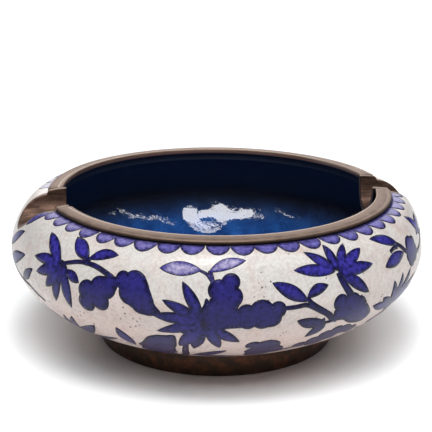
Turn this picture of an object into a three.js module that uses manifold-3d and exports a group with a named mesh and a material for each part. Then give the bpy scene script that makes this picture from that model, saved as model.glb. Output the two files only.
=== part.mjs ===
// Cloisonne ashtray: a low round copper bowl with enamel fused inside and out, a flat bronze rim,
// two bronze cigar rests let into the rim and shoulder, and a bronze foot ring.
// Millimetres, +Z up. The origin is the middle of the foot's underside, and the rests lie along X.

import * as THREE from "three";
import { mergeVertices } from "three/addons/utils/BufferGeometryUtils.js";
import Module from "manifold-3d";

// Driving dimensions

const bellyRadius = 65; // the bowl at its widest
const bellyHeight = 31.6; // where it is widest, above the table
const rimTop = 48.3; // the rim's upper face at its inner edge
const rimInnerRadius = 49.4;
const rimWidth = 4.7; // the band, from its inner to its outer edge
const rimThickness = 1.6; // the band, at its inner edge
const rimFall = 0.4; // how much lower the band's upper face is at its outer edge
const rimEdge = 0.35; // the eased edges of the band
const mouthSetback = 1.1; // how far the copper mouth stands back under the band
const bowlWall = 2.4; // copper and both enamel layers

const footHeight = 7.6;
const footSeatRadius = 39.2; // the foot's outer radius where the bowl rests on it
const footBaseRadius = 37.5; // its outer radius on the table
const footWall = 2.6;
const footEdge = 0.5; // the eased edges at the table
const seatMargin = 0.2; // the bowl's flat underside past the foot

const undersideAngle = 18.4; // degrees, the bowl's slope where it leaves the foot
const undersideReach = 20; // how long the underside keeps that slope
const bellyDrop = 7; // the belly's upright stretch below its widest height
const bellyRise = 1.4; // and above it
const shoulderAngle = 2.9; // degrees, the shoulder's fall at the band
const shoulderReach = 9.7; // how long the shoulder keeps that fall

const restDepth = 8.6; // a rest's floor below the rim's upper face
const restWall = 1.8; // the rests' bent bronze sheet
const restLip = 1.3; // how far the rests stand inwards past the band's inner edge, at mid width
const restSeam = 0.3; // the soldered gap around each rest
const restTurn = 1.8; // degrees, both rests are set a little towards the front
const leftRestWidth = 16.4; // clear, at the band
const leftRestEndWidth = 15.6; // clear, at the outer end
const rightRestWidth = 13;
const rightRestEndWidth = 16.2;

const roundSteps = 72; // flats around every turned piece
const undersideSteps = 10; // flats up the bowl's outside, foot to belly
const shoulderSteps = 9; // and belly to band
const restSteps = 14; // flats around a rest's half round floor

const rimOuterRadius = rimInnerRadius + rimWidth;
const mouthRadius = rimInnerRadius + mouthSetback;
const rests = [
  { name: "cigar_rest_left", bearing: 180 + restTurn, width: leftRestWidth, endWidth: leftRestEndWidth },
  { name: "cigar_rest_right", bearing: -restTurn, width: rightRestWidth, endWidth: rightRestEndWidth },
];

// Materials

function metal(color, roughness) {
  return new THREE.MeshStandardMaterial({ color, roughness, metalness: 0.9 });
}
const enamel = new THREE.MeshStandardMaterial({ color: 0xe9e2dc, roughness: 0.25, metalness: 0 });
const rimBronze = metal(0x9c8b7f, 0.45);
const restBronze = metal(0x5c4a3e, 0.5);
const footBronze = metal(0x3a2a20, 0.55);

// Solids

const wasm = await Module();
wasm.setup();

function toSolid(geometry) {
  const bare = new THREE.BufferGeometry();
  bare.setAttribute("position", geometry.getAttribute("position"));
  bare.setIndex(geometry.getIndex());
  const merged = mergeVertices(bare, 1e-4);
  const index = merged.getIndex().array;
  const triVerts = [];
  for (let i = 0; i < index.length; i += 3) {
    const [a, b, c] = [index[i], index[i + 1], index[i + 2]];
    if (a !== b && b !== c && c !== a) triVerts.push(a, b, c);
  }
  const vertProperties = Float32Array.from(merged.getAttribute("position").array);
  return new wasm.Manifold(new wasm.Mesh({ numProp: 3, vertProperties, triVerts: Uint32Array.from(triVerts) }));
}

function toMesh(name, solid, material) {
  const { vertProperties, triVerts } = solid.getMesh();
  const geometry = new THREE.BufferGeometry();
  geometry.setAttribute("position", new THREE.BufferAttribute(vertProperties, 3));
  geometry.setIndex(new THREE.BufferAttribute(triVerts, 1));
  const mesh = new THREE.Mesh(geometry, material);
  mesh.name = name;
  return mesh;
}

// turns a profile of [radius, height] points about Z; the outside is walked upwards
function turned(profile) {
  const points = profile.map(([radius, height]) => new THREE.Vector2(radius, height));
  return new THREE.LatheGeometry(points, roundSteps).rotateX(Math.PI / 2);
}

function degrees(angle) {
  return THREE.MathUtils.degToRad(angle);
}

// The bowl's outline

const seatRadius = footSeatRadius + seatMargin;
const bandSeat = rimTop - rimThickness;

const underside = new THREE.CubicBezierCurve(
  new THREE.Vector2(seatRadius, footHeight),
  new THREE.Vector2(
    seatRadius + undersideReach * Math.cos(degrees(undersideAngle)),
    footHeight + undersideReach * Math.sin(degrees(undersideAngle)),
  ),
  new THREE.Vector2(bellyRadius, bellyHeight - bellyDrop),
  new THREE.Vector2(bellyRadius, bellyHeight),
);
const shoulder = new THREE.CubicBezierCurve(
  new THREE.Vector2(bellyRadius, bellyHeight),
  new THREE.Vector2(bellyRadius, bellyHeight + bellyRise),
  new THREE.Vector2(
    rimOuterRadius + shoulderReach * Math.cos(degrees(shoulderAngle)),
    bandSeat - shoulderReach * Math.sin(degrees(shoulderAngle)),
  ),
  new THREE.Vector2(rimOuterRadius, bandSeat),
);

// points on the outline, moved inwards by a depth; the two curves share the belly point
function outline(depth) {
  const points = [];
  for (const [curve, steps] of [[underside, undersideSteps], [shoulder, shoulderSteps]]) {
    for (let i = points.length ? 1 : 0; i <= steps; i += 1) {
      const point = curve.getPoint(i / steps);
      const tangent = curve.getTangent(i / steps);
      points.push([point.x - depth * tangent.y, point.y + depth * tangent.x]);
    }
  }
  return points;
}

function bowlShell() {
  const outside = outline(0);
  const inside = outline(bowlWall).reverse();
  const floorHeight = footHeight + bowlWall;
  return toSolid(turned([
    [0, footHeight],
    ...outside,
    [mouthRadius, bandSeat],
    [mouthRadius, bandSeat - bowlWall],
    ...inside.filter(([radius, height]) => radius > mouthRadius || height < bellyHeight),
    [0, floorHeight],
  ]));
}

// The band on the mouth

function bandRing() {
  return toSolid(turned([
    [rimInnerRadius, bandSeat],
    [rimOuterRadius, bandSeat],
    [rimOuterRadius, rimTop - rimFall - rimEdge],
    [rimOuterRadius - rimEdge, rimTop - rimFall],
    [rimInnerRadius + rimEdge, rimTop],
    [rimInnerRadius, rimTop - rimEdge],
    [rimInnerRadius, bandSeat],
  ]));
}

// everything inside the bowl's and the band's outer faces, which the rests are filed flush with
function envelope() {
  return toSolid(turned([
    [0, footHeight],
    ...outline(0),
    [rimOuterRadius, rimTop - rimFall - rimEdge],
    [rimOuterRadius - rimEdge, rimTop - rimFall],
    [rimInnerRadius + rimEdge, rimTop],
    [0, rimTop],
  ]));
}

// The rests

const headroom = rimThickness + restDepth; // how far the channel's sides run above the rim
const channelEnd = bellyRadius + restDepth; // past the bowl

// a half round channel along +X, open above: its sections are lofted from one to the next
function channel(rest, grown, start) {
  const halfWidths = [
    [start, rest.width / 2],
    [rimOuterRadius, rest.width / 2],
    [bellyRadius, rest.endWidth / 2],
    [channelEnd, rest.endWidth / 2],
  ];
  const ring = restSteps + 3;
  const positions = [];
  for (const [x, halfWidth] of halfWidths) {
    positions.push(x, halfWidth + grown, rimTop + headroom);
    for (let i = 0; i <= restSteps; i += 1) {
      const angle = (Math.PI * i) / restSteps;
      const y = (halfWidth + grown) * Math.cos(angle);
      positions.push(x, y, rimTop - (restDepth + grown) * Math.sin(angle));
    }
    positions.push(x, -halfWidth - grown, rimTop + headroom);
  }
  const index = [];
  for (let s = 0; s + 1 < halfWidths.length; s += 1) {
    for (let i = 0; i < ring; i += 1) {
      const [a, b] = [s * ring + i, s * ring + ((i + 1) % ring)];
      index.push(a, a + ring, b, b, a + ring, b + ring);
    }
  }
  const last = (halfWidths.length - 1) * ring;
  for (let i = 1; i + 1 < ring; i += 1) {
    index.push(0, i, i + 1, last, last + i + 1, last + i);
  }
  const geometry = new THREE.BufferGeometry();
  geometry.setAttribute("position", new THREE.BufferAttribute(new Float32Array(positions), 3));
  geometry.setIndex(index);
  return toSolid(geometry.rotateZ(degrees(rest.bearing)));
}

const lipStart = rimInnerRadius - restLip;

function restSheet(rest) {
  const inner = channel(rest, 0, lipStart - restWall);
  return channel(rest, restWall, lipStart).subtract(inner).intersect(envelope());
}

function restSlot(rest) {
  return channel(rest, restWall + restSeam, lipStart - restWall);
}

// a block that holds one half of the band, on the side of Y that is given
function halfSpace(side) {
  const size = 2 * bellyRadius;
  return toSolid(new THREE.BoxGeometry(size, size, size).translate(0, (side * size) / 2, rimTop));
}

// The foot ring

function footRing() {
  return turned([
    [footBaseRadius - footWall + footEdge, 0],
    [footBaseRadius - footEdge, 0],
    [footBaseRadius, footEdge],
    [footSeatRadius, footHeight],
    [footSeatRadius - footWall, footHeight],
    [footBaseRadius - footWall, footEdge],
    [footBaseRadius - footWall + footEdge, 0],
  ]);
}

// The object

const ashtray = new THREE.Group();

const slots = rests.map(restSlot);
const cutBowl = slots.reduce((solid, slot) => solid.subtract(slot), bowlShell());
const cutBand = slots.reduce((solid, slot) => solid.subtract(slot), bandRing());

ashtray.add(toMesh("enamelled_bowl", cutBowl, enamel));
ashtray.add(toMesh("rim_band_front", cutBand.intersect(halfSpace(-1)), rimBronze));
ashtray.add(toMesh("rim_band_back", cutBand.intersect(halfSpace(1)), rimBronze));
for (const rest of rests) ashtray.add(toMesh(rest.name, restSheet(rest), restBronze));

const foot = new THREE.Mesh(footRing(), footBronze);
foot.name = "foot_ring";
ashtray.add(foot);

export default ashtray;
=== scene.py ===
# A cloisonne ashtray: a low round copper bowl, enamelled white outside and blue inside, with a floral
# pattern in bent wire and blue enamel, a flat bronze rim, two cigar rests and a foot ring.
import math
import random

import bmesh
import bpy
import numpy as np
from mathutils import Euler, Matrix, Vector, geometry


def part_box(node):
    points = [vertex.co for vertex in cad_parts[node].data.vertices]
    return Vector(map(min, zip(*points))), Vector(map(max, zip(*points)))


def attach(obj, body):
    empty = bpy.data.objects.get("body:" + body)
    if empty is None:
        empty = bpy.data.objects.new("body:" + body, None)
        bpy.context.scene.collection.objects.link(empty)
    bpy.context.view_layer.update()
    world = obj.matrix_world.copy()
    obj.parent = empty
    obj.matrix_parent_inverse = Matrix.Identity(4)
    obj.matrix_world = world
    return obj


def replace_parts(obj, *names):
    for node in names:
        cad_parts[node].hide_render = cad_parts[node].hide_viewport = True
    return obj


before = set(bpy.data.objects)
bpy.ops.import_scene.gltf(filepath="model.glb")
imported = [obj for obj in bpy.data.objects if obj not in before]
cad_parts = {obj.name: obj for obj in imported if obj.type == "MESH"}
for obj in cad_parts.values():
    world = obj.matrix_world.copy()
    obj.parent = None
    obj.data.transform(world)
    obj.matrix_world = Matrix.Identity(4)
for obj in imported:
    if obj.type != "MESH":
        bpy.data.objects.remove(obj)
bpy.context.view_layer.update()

mm = 0.001


# The bowl: spun copper with enamel fused to both its faces, 2.4 mm in all, cream white outside and
# cobalt blue inside. Its mouth is turned in under the rim, and the shoulder is cut for the two rests.


def in_mm(length):
    """A length from the frame, which is in metres, as a size in mm."""
    return round(length / mm, 2)


bowl_low, bowl_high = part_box("enamelled_bowl")
band_low, band_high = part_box("rim_band_back")
belly_radius = in_mm(bowl_high[0])
belly_height = 31.6
rim_top = in_mm(band_high[2])
rim_inner_radius = 49.4
rim_outer_radius = in_mm(band_high[1])
band_seat = in_mm(band_low[2])
mouth_radius = 50.5
bowl_wall = 2.4  # copper and both enamels
seat_radius = 39.4
foot_height = in_mm(bowl_low[2])
underside_angle = math.radians(18.4)
underside_reach = 20.0
belly_drop = 7.0  # the upright stretch below the belly
belly_rise = 1.4  # and above it
shoulder_angle = math.radians(2.9)
shoulder_reach = 9.7
enamel_setback = 0.1  # the white enamel lies this far inside the bowl's outline
bowl_flats = 288
bowl_crease = 30  # degrees
shoulder_points = 160
underside_points = 240
outside_rings = 76
inside_rings = 60
underside_ring = 20.0  # the radii of extra rings of faces on the flat underside and floor
floor_rings = (30.0, 15.0)


def bezier(start, first, second, end, count):
    """Points along a curve that leaves start towards first and comes to end from second."""
    t = np.linspace(0, 1, count)[:, None]
    start, first, second, end = (np.array(p, float) for p in (start, first, second, end))
    return (
        (1 - t) ** 3 * start
        + 3 * (1 - t) ** 2 * t * first
        + 3 * (1 - t) * t**2 * second
        + t**3 * end
    )


shoulder = bezier(
    (rim_outer_radius, band_seat),
    (
        rim_outer_radius + shoulder_reach * math.cos(shoulder_angle),
        band_seat - shoulder_reach * math.sin(shoulder_angle),
    ),
    (belly_radius, belly_height + belly_rise),
    (belly_radius, belly_height),
    shoulder_points,
)
underside = bezier(
    (belly_radius, belly_height),
    (belly_radius, belly_height - belly_drop),
    (
        seat_radius + underside_reach * math.cos(underside_angle),
        foot_height + underside_reach * math.sin(underside_angle),
    ),
    (seat_radius, foot_height),
    underside_points,
)
outline = np.concatenate([shoulder, underside[1:]])
steps = np.diff(outline, axis=0)
down_outline = np.concatenate([[0], np.cumsum(np.hypot(steps[:, 0], steps[:, 1]))])
outline_length = down_outline[-1]
slope = np.gradient(outline, down_outline, axis=0)
outward = np.stack([-slope[:, 1], slope[:, 0]], axis=1)
outward /= np.linalg.norm(outward, axis=1)[:, None]


def outline_at(down, lift=0.0):
    """Radius and height of the bowl's outside, down mm along it from the band and lift mm off it."""
    radius = np.interp(down, down_outline, outline[:, 0] + lift * outward[:, 0])
    height = np.interp(down, down_outline, outline[:, 1] + lift * outward[:, 1])
    return radius, height


def on_bowl(turn, down, lift=0.0):
    """Points in metres on the bowl's outside. Turn is in degrees from the front, towards +X."""
    radius, height = outline_at(down, lift - enamel_setback)
    angle = np.radians(turn)
    return np.stack([radius * np.sin(angle), -radius * np.cos(angle), height], axis=-1) * mm


def new_object(name, mesh):
    made = bpy.data.objects.new(name, mesh)
    bpy.context.scene.collection.objects.link(made)
    return made


def discard(*objects):
    for one in objects:
        bpy.data.objects.remove(one)


def settled(source, name):
    """A plain object of what source looks like with its modifiers; source is removed."""
    graph = bpy.context.evaluated_depsgraph_get()
    mesh = bpy.data.meshes.new_from_object(source.evaluated_get(graph))
    discard(source)
    mesh.name = name
    return new_object(name, mesh)


def rounded(piece, crease=35.0, merge=0.002):
    """Closes seams and poles, points the faces outwards and shades them smooth up to a crease angle."""
    work = bmesh.new()
    work.from_mesh(piece.data)
    bmesh.ops.remove_doubles(work, verts=work.verts, dist=merge * mm)
    bmesh.ops.recalc_face_normals(work, faces=work.faces)
    for face in work.faces:
        face.smooth = True
    for edge in work.edges:
        if len(edge.link_faces) == 2:
            edge.smooth = edge.calc_face_angle(0) < math.radians(crease)
    work.to_mesh(piece.data)
    work.free()
    return piece


mouth_shift = 0.75
shifted_from = 33.0  # the height where the shift starts
shifted_over = 12.0
sides_from = 28.0  # and the distance to either side
sides_over = 24.0


def out_of_true(piece):
    """The mouth of the real bowl sits a little to the right of its belly, which this follows."""
    places = np.array([tuple(v.co) for v in piece.data.vertices])
    up = np.clip((places[:, 2] / mm - shifted_from) / shifted_over, 0, 1)
    off = np.clip((np.abs(places[:, 0]) / mm - sides_from) / sides_over, 0, 1)
    places[:, 0] += mouth_shift * mm * up**2 * (3 - 2 * up) * off**2 * (3 - 2 * off)
    piece.data.vertices.foreach_set("co", places.ravel())
    piece.data.update()


class NodeTree:
    """A Geometry Nodes tree with a mesh input, a mesh output and a named input for each size."""

    def __init__(self, name, sizes):
        self.group = bpy.data.node_groups.new(name, "GeometryNodeTree")
        face = self.group.interface
        face.new_socket("Geometry", in_out="INPUT", socket_type="NodeSocketGeometry")
        self.sockets = {
            label: face.new_socket(label, in_out="INPUT", socket_type="NodeSocket" + kind).identifier
            for label, kind in sizes.items()
        }
        face.new_socket("Geometry", in_out="OUTPUT", socket_type="NodeSocketGeometry")
        self.given = self.group.nodes.new("NodeGroupInput").outputs
        self.result = self.group.nodes.new("NodeGroupOutput").inputs[0]

    def add(self, kind, settings=None, sockets=None, output=0):
        """Adds a node: its settings first, then the values or links of its sockets."""
        node = self.group.nodes.new(kind if kind.startswith("Shader") else "GeometryNode" + kind)
        for key, value in (settings or {}).items():
            setattr(node, key, value)
        for key, value in (sockets or {}).items():
            if isinstance(value, bpy.types.NodeSocket):
                self.group.links.new(value, node.inputs[key])
            else:
                node.inputs[key].default_value = value
        return node.outputs[output]

    def finish(self, shape):
        """Ends the tree: real geometry with the material that is asked for."""
        real = self.add("RealizeInstances", None, {0: shape})
        painted = self.add("SetMaterial", None, {0: real, "Material": self.given["Material"]})
        self.group.links.new(painted, self.result)

    def grow(self, name, mesh, **sizes):
        """A plain object of what the tree makes of a mesh."""
        source = new_object(name + "_source", mesh)
        modifier = source.modifiers.new("grow", "NODES")
        modifier.node_group = self.group
        for label, value in sizes.items():
            modifier[self.sockets[label]] = value
        return settled(source, name)


# a lathe: an outline of radius and height is swept round Z, on a path whose radius is taken off first
lathe = NodeTree("Lathe", {"Flats": "Int", "Path": "Float", "Material": "Material"})
back = lathe.add("ShaderNodeMath", {"operation": "MULTIPLY"}, {0: lathe.given["Path"], 1: -1.0})
shift = lathe.add("ShaderNodeCombineXYZ", None, {0: back})
moved = lathe.add("Transform", None, {0: lathe.given["Geometry"], "Translation": shift})
profile = lathe.add("MeshToCurve", None, {0: moved})
circle = lathe.add(
    "CurvePrimitiveCircle",
    None,
    {"Resolution": lathe.given["Flats"], "Radius": lathe.given["Path"]},
)
upright = lathe.add("SetCurveNormal", {"mode": "Z_UP"}, {0: circle})
swept = lathe.add("CurveToMesh", None, {0: upright, 1: profile})
lathe.finish(swept)


def turned(name, points, material, flats, closed=False):
    """A piece turned on the lathe from (radius, height) points in mm."""
    count = len(points)
    edges = [(i, i + 1) for i in range(count - 1)]
    if closed:
        edges.append((count - 1, 0))
    mesh = bpy.data.meshes.new(name)
    mesh.from_pydata([(r * mm, -z * mm, 0.0) for r, z in points], edges, [])
    return lathe.grow(name, mesh, Flats=flats, Path=rim_inner_radius * mm, Material=material)


class Value:
    """A shader socket that takes part in sums: each operator adds the Math node that it stands for."""

    def __init__(self, finish, socket):
        self.finish = finish
        self.socket = socket

    def sum(self, operation, *others, turn=False):
        terms = [self, *others]
        if turn:
            terms.reverse()
        sockets = dict(enumerate(terms))
        return self.finish.add("Math", {"operation": operation}, sockets)

    def __add__(self, other):
        return self.sum("ADD", other)

    def __sub__(self, other):
        return self.sum("SUBTRACT", other)

    def __rsub__(self, other):
        return self.sum("SUBTRACT", other, turn=True)

    def __mul__(self, other):
        return self.sum("MULTIPLY", other)

    def __pow__(self, other):
        return self.sum("POWER", other)

    __radd__ = __add__
    __rmul__ = __mul__

    def clamped(self):
        return self.finish.add("Clamp", None, {0: self})

    def between(self, low, high):
        """0 below low, 1 above high, and a smooth step from one to the other."""
        return self.finish.add(
            "MapRange",
            {"interpolation_type": "SMOOTHSTEP"},
            {0: self, 1: low, 2: high, 3: 0.0, 4: 1.0},
        )


class Finish:
    """A material that is built node by node, with its patterns on Object coordinates."""

    def __init__(self, name):
        self.material = bpy.data.materials.new(name)
        self.material.use_nodes = True
        self.tree = self.material.node_tree
        self.tree.nodes.clear()
        self.place = self.add("TexCoord", output="Object")
        split = self.add("SeparateXYZ", None, {0: self.place})
        self.x, self.y, self.z = (Value(self, out) for out in split.socket.node.outputs)

    def add(self, kind, settings=None, sockets=None, output=0):
        """Adds a node: its settings first, then the values or links of its sockets."""
        node = self.tree.nodes.new("ShaderNode" + kind)
        for key, value in (settings or {}).items():
            setattr(node, key, value)
        for key, value in (sockets or {}).items():
            if isinstance(value, Value):
                self.tree.links.new(value.socket, node.inputs[key])
            else:
                node.inputs[key].default_value = value
        return Value(self, node.outputs[output])

    def noise(self, size, detail=2.0, roughness=0.5, stretch=(1, 1, 1), warp=0.0):
        """Soft noise with features about size mm across, from 0 to 1."""
        scale = tuple(s / (size * mm) for s in stretch)
        place = self.add("Mapping", None, {"Vector": self.place, "Scale": scale})
        return self.add(
            "TexNoise",
            None,
            {"Vector": place, "Scale": 1.0, "Detail": detail, "Roughness": roughness, "Distortion": warp},
        )

    def specks(self, spacing, radius, share=1.0):
        """1 in round specks of about that radius in mm, and 0 between them; a share of them is kept."""
        place = self.add("Mapping", None, {"Vector": self.place, "Scale": (1 / (spacing * mm),) * 3})
        away = self.add("TexVoronoi", None, {"Vector": place, "Scale": 1.0}, "Distance")
        mark = Value(self, away.socket.node.outputs["Color"])
        kept = 1 - mark.between(share - 0.05, share + 0.05)
        return (1 - away.between(0.6 * radius / spacing, 1.3 * radius / spacing)) * kept

    def near(self, centre, radius):
        """1 at a place in metres, falling to 0 at a radius in mm from it."""
        away = self.add(
            "VectorMath", {"operation": "DISTANCE"}, {0: self.place, 1: tuple(centre)}, "Value"
        )
        return 1 - away.between(0.35 * radius * mm, radius * mm)

    def attribute(self, name):
        return self.add("Attribute", {"attribute_name": name}, output="Fac")

    def mix(self, factor, first, second):
        """A colour that goes from first to second."""
        return self.add("Mix", {"data_type": "RGBA"}, {0: factor, 6: first, 7: second}, 2)

    def bump(self, height, depth):
        """A surface normal from a height of 0 to 1 that stands for depth mm."""
        return self.add("Bump", None, {"Height": height, "Distance": depth * mm, "Strength": 1.0})

    def surface(self, **sockets):
        """Ends the material with the shader, whose sockets are named with spaces as underscores."""
        named = {key.replace("_", " "): value for key, value in sockets.items()}
        shader = self.add("BsdfPrincipled", None, named)
        out = self.tree.nodes.new("ShaderNodeOutputMaterial")
        self.tree.links.new(shader.socket, out.inputs[0])
        return self.material


def colour(red, green, blue):
    """A colour for a shader from its display values of 0 to 255."""
    def linear(value):
        value /= 255
        return value / 12.92 if value <= 0.04045 else ((value + 0.055) / 1.055) ** 2.4
    return (linear(red), linear(green), linear(blue), 1.0)


# cream white, pinker below, clouded and stained, with burst bubbles in clusters
white = Finish("white_enamel")
low = 1 - white.z.between(18 * mm, 40 * mm)
cloud = white.noise(16, 3.0, 0.6)
pinker = (low * 0.8 + cloud.between(0.4, 0.7) * 0.35).clamped()
body = white.mix(pinker, colour(191, 189, 186), colour(200, 178, 170))
rosy_stain = white.noise(4, 4.0, 0.65).between(0.5, 0.7)
body = white.mix(rosy_stain * 0.32, body, colour(160, 130, 122))
grey_stain = white.noise(9, 4.0, 0.7).between(0.55, 0.72)
body = white.mix(grey_stain * 0.35, body, colour(136, 133, 134))
grain = white.noise(0.9, 4.0, 0.7)
body = white.mix(grain.between(0.4, 0.66) * 0.36, body, colour(148, 128, 121))
# degrees from the front, mm below the band, and the cluster's radius
pit_clusters = [
    (-30.0, 17.5, 5.0), (-33.5, 24.0, 6.0), (-35.0, 29.5, 5.0), (0.5, 12.5, 4.5), (3.0, 17.5, 5.0),
    (-8.0, 10.0, 5.0), (15.5, 27.0, 6.0), (5.5, 30.5, 5.0), (27.0, 22.0, 5.0), (36.0, 25.0, 6.0),
    (-47.0, 30.0, 7.0), (-60.0, 29.0, 6.0), (-78.0, 22.0, 6.0), (58.0, 24.0, 6.0), (150.0, 20.0, 9.0),
    (205.0, 26.0, 9.0), (110.0, 27.0, 8.0),
]
pit_places = white.noise(5, 1.0).between(0.66, 0.7) * 0.6
for turn, down, spread in pit_clusters:
    pit_places = pit_places + white.near(on_bowl(turn, down), spread)
scattered = white.specks(5.1, 0.28, 0.5)
pits = (white.specks(1.25, 0.3, 0.5) * pit_places.clamped() + scattered).clamped()
body = white.mix(pits * 0.9, body, colour(64, 44, 40))
white_enamel = white.surface(
    Base_Color=body,
    Roughness=0.22 + cloud * 0.14 + pits * 0.4,
    IOR=1.5,
    Normal=white.bump(white.noise(7) - pits * 0.5 + grain * 0.15, 0.16),
)

# cobalt blue, clear and glossy on the floor; up the wall it is dull and darker, partly ash and partly
# painted shade
lining = Finish("blue_lining")
deep = lining.noise(9, 4.0, 0.6, warp=0.4)
bright = lining.mix(deep.between(0.3, 0.7), colour(20, 47, 96), colour(34, 77, 139))
# painted shade, partly ash: the darker colour that the lining takes up the wall
ash_and_painted_shade = lining.mix(deep, colour(22, 27, 38), colour(34, 41, 58))
above = lining.z.between(18 * mm, 29.5 * mm)
base = lining.mix(above, bright, ash_and_painted_shade)
# painted glints: lighter blue specks in the colour, kept to the lit lower part of the wall
painted_glints = lining.specks(1.4, 0.2, 0.5) * (1 - above)
base = lining.mix(painted_glints * 0.4, base, colour(84, 128, 190))
swelling = Vector((7.4, 57.4, 21.6)) * mm  # a thick spot in the glaze, on the back wall
waves = lining.noise(24, 2.0, 0.4) + lining.noise(4, 3.0, 0.6) * 0.06
blue_lining = lining.surface(
    Base_Color=base,
    Roughness=0.07 + lining.z.between(25 * mm, 33 * mm) * 0.5,
    IOR=1.65,
    Normal=lining.bump(waves + lining.near(swelling, 9) * 0.23, 2.2),
)

stops_up = np.linspace(outline_length, 0, outside_rings)
outside_points = [outline_at(stop, -enamel_setback) for stop in stops_up]
stops_down = np.linspace(0, outline_length, inside_rings)
inside_points = [outline_at(stop, -bowl_wall) for stop in stops_down]
inside_points = [(r, z) for r, z in inside_points if r > mouth_radius or z < belly_height]
bowl_floor = foot_height + bowl_wall
bowl_outline = [
    (0.0, foot_height),
    (underside_ring, foot_height),
    *outside_points,
    (mouth_radius, band_seat),
    (mouth_radius, band_seat - bowl_wall),
    *inside_points,
    *[(ring, bowl_floor) for ring in floor_rings],
    (0.0, bowl_floor),
]
bowl = rounded(turned("bowl", bowl_outline, white_enamel, bowl_flats), bowl_crease)
bowl.data.materials.append(blue_lining)
# a face more than half the wall away from the outline, and above the bottom, is on the lined side
places = np.array([tuple(face.center) for face in bowl.data.polygons]) / mm
around = np.hypot(places[:, 0], places[:, 1])
sideways = around[:, None] - outline[None, :, 0]
upwards = places[:, 2, None] - outline[None, :, 1]
depths = np.hypot(sideways, upwards).min(1)
lined = (depths > bowl_wall / 2) & (places[:, 2] > foot_height + bowl_wall / 2)
bowl.data.polygons.foreach_set("material_index", lined.astype(np.int32))


# The rests' slots: each rest is a half round channel along X, let into the rim and the shoulder, so the
# bowl is sawn and filed out to the channel's outer size and a hair more, for the solder.

rest_depth = 8.6
rest_wall = 1.8
rest_seam = 0.3
rest_lip = 48.1  # where the rests start, inside the rim
thinned = 0.3  # the sheet is filed down to this share of its thickness at the outer end
headroom = 12.0  # how far a channel's sides run above the rim
# bearings in degrees from +X; the clear width and the shift to the front, at the band and at the outer
# end; and how far the inner end is cut askew
rests = {
    "left": {
        "bearing": 181.8, "width": 17.4, "end_width": 13.6, "set": 1.4, "end_set": 0.3, "askew": 0.7,
    },
    "right": {
        "bearing": -1.8, "width": 13.0, "end_width": 16.2, "set": 0.0, "end_set": 0.0, "askew": 0.0,
    },
}


def channel(rest, grown, start, arc=40):
    """A half round channel, open above and grown by a margin, as a closed solid."""
    stations = [
        (start, rest["width"], grown, rest["set"], rest["askew"]),
        (rim_outer_radius, rest["width"], grown, rest["set"], 0),
        (belly_radius, rest["end_width"], grown * thinned, rest["end_set"], 0),
        (belly_radius + rest_depth, rest["end_width"], grown * thinned, rest["end_set"], 0),
    ]
    bearing = math.radians(rest["bearing"])
    along = Vector((math.cos(bearing), math.sin(bearing), 0))
    across = Vector((-math.sin(bearing), math.cos(bearing), 0))
    points = []
    for x, width, more, forward, askew in stations:
        half = width / 2 + more
        section = [(half, rim_top + headroom)]
        for i in range(arc + 1):
            angle = math.pi * i / arc
            section.append((half * math.cos(angle), rim_top - (rest_depth + more) * math.sin(angle)))
        section.append((-half, rim_top + headroom))
        for y, z in section:
            place = along * (x + askew * y / half) + across * y + Vector((0, -forward, z))
            points.append(place * mm)
    ring = arc + 3
    last = len(stations) - 1
    faces = [tuple(range(ring)), tuple(reversed(range(last * ring, (last + 1) * ring)))]
    for s in range(last):
        for i in range(ring):
            j = (i + 1) % ring
            faces.append((s * ring + i, (s + 1) * ring + i, (s + 1) * ring + j, s * ring + j))
    mesh = bpy.data.meshes.new("channel")
    mesh.from_pydata(points, [], faces)
    return rounded(new_object("channel", mesh))


def rest_at(rest, radius):
    """A rest's half width, its shift to the front and its sheet's share of the full thickness."""
    share = min(max((radius - rim_outer_radius) / (belly_radius - rim_outer_radius), 0), 1)
    half = (rest["width"] + share * (rest["end_width"] - rest["width"])) / 2
    forward = rest["set"] + share * (rest["end_set"] - rest["set"])
    return half, forward, 1 + share * (thinned - 1)


def across_slot(rest, radius, height, grown):
    """The two sides, in degrees from the front, where a channel's edge meets this radius and height."""
    half, forward, thickness = rest_at(rest, radius)
    more = grown * thickness
    reach = (rim_top - height) / (rest_depth + more)
    if reach >= 1:
        return None
    half = (half + more) * math.sqrt(1 - max(reach, 0) ** 2)
    middle = rest["bearing"] + 90
    shift = -forward if rest["bearing"] < 90 else forward
    sides = [math.degrees(math.asin((shift + s * half) / radius)) for s in (-1, 1)]
    return middle + sides[0], middle + sides[1]


def combined(piece, operation, *tools):
    """The piece cut by, or kept within, other solids, which are removed."""
    name = piece.name
    for tool in tools:
        modifier = piece.modifiers.new(operation, "BOOLEAN")
        modifier.operation = operation
        modifier.solver = "EXACT"
        modifier.object = tool
    made = settled(piece, name + "_cut")
    discard(*tools)
    made.name = name
    return made


slot_margin = rest_wall + rest_seam
bowl = combined(
    bowl, "DIFFERENCE", *(channel(r, slot_margin, rest_lip - rest_wall) for r in rests.values())
)
rounded(bowl, bowl_crease)
out_of_true(bowl)
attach(bowl, "root")
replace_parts(bowl, "enamelled_bowl")


# The floral pattern: flat copper wire is bent to each petal and leaf, set on edge on the bowl, and the
# cells between the wires are filled with blue enamel and ground flush.

random.seed(7)


def almond(tip, base, width, fullest=0.5, bend=0.0, steps=12):
    """A petal or leaf, pointed at both ends, in mm along and down the surface."""
    power = math.log(0.5) / math.log(fullest)
    run = np.subtract(tip, base)
    side = np.array([-run[1], run[0]]) / np.hypot(*run)
    left, right = [], []
    for i in range(steps + 1):
        t = i / steps
        half = width / 2 * max(math.sin(math.pi * t**power), 0) ** 0.85
        middle = base + run * t + side * bend * math.sin(math.pi * t)
        left.append(middle + side * half)
        right.append(middle - side * half)
    return left + right[-2:0:-1]


def disc(x, y, radius, steps=20):
    angles = [2 * math.pi * i / steps for i in range(steps)]
    return [np.array([x + radius * math.cos(a), y + radius * math.sin(a)]) for a in angles]


def discs(*circles):
    return [disc(*circle) for circle in circles]


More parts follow.
